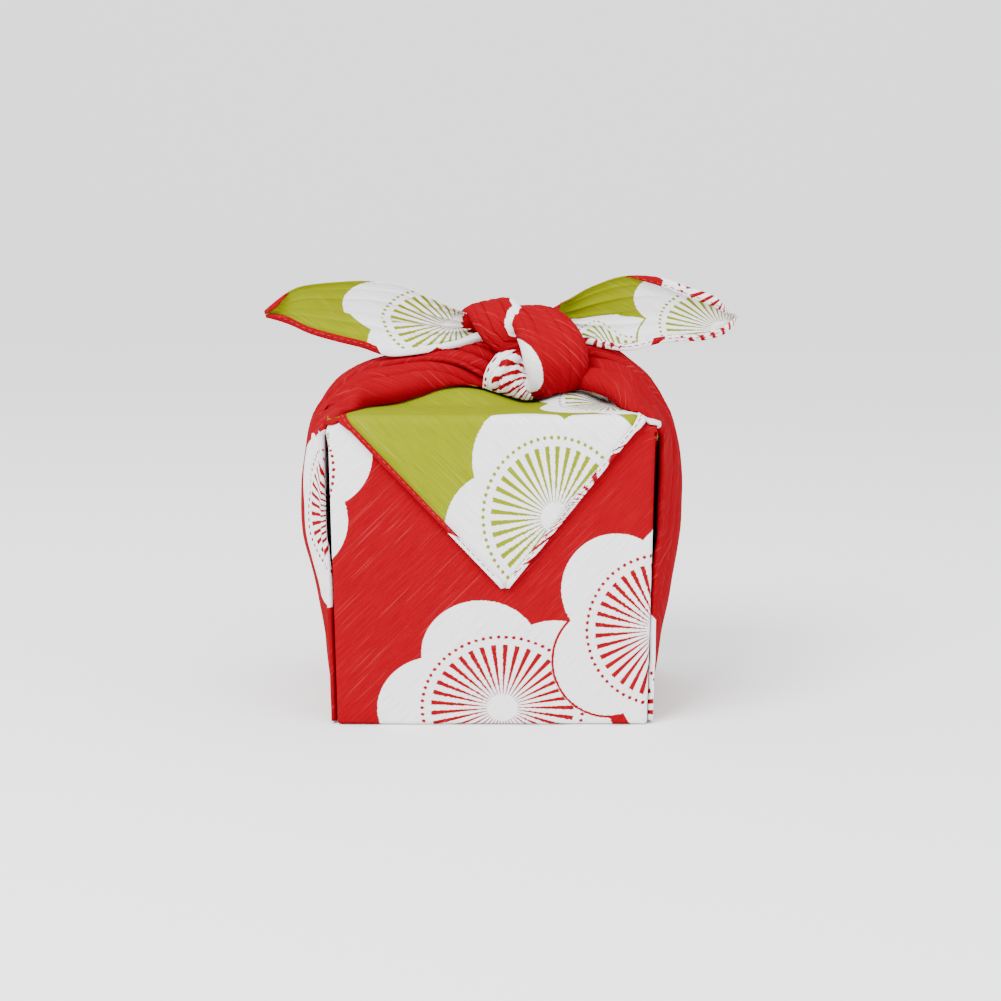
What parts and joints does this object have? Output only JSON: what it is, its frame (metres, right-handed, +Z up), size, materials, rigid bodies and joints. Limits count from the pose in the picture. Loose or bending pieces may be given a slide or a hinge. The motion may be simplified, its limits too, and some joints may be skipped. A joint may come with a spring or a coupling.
{
  "type": "furoshiki wrap",
  "caption": "Square wrapping cloth folded round a box, with a pointed flap down the front and its side corners tied in a square knot on top.",
  "frame": {"origin": "centre of the flat base that the wrap rests on", "axes": "+X to the wrap's right as seen from the flap's side, +Y to its back, +Z up"},
  "size_m": [0.1631, 0.1019, 0.1461],
  "materials": {
    "printed_cotton": "matt slubbed cotton, red print outside and green print inside"
  },
  "bodies": {
    "root": {"wrap_cloth": "printed_cotton"}
  },
  "joints": []
}
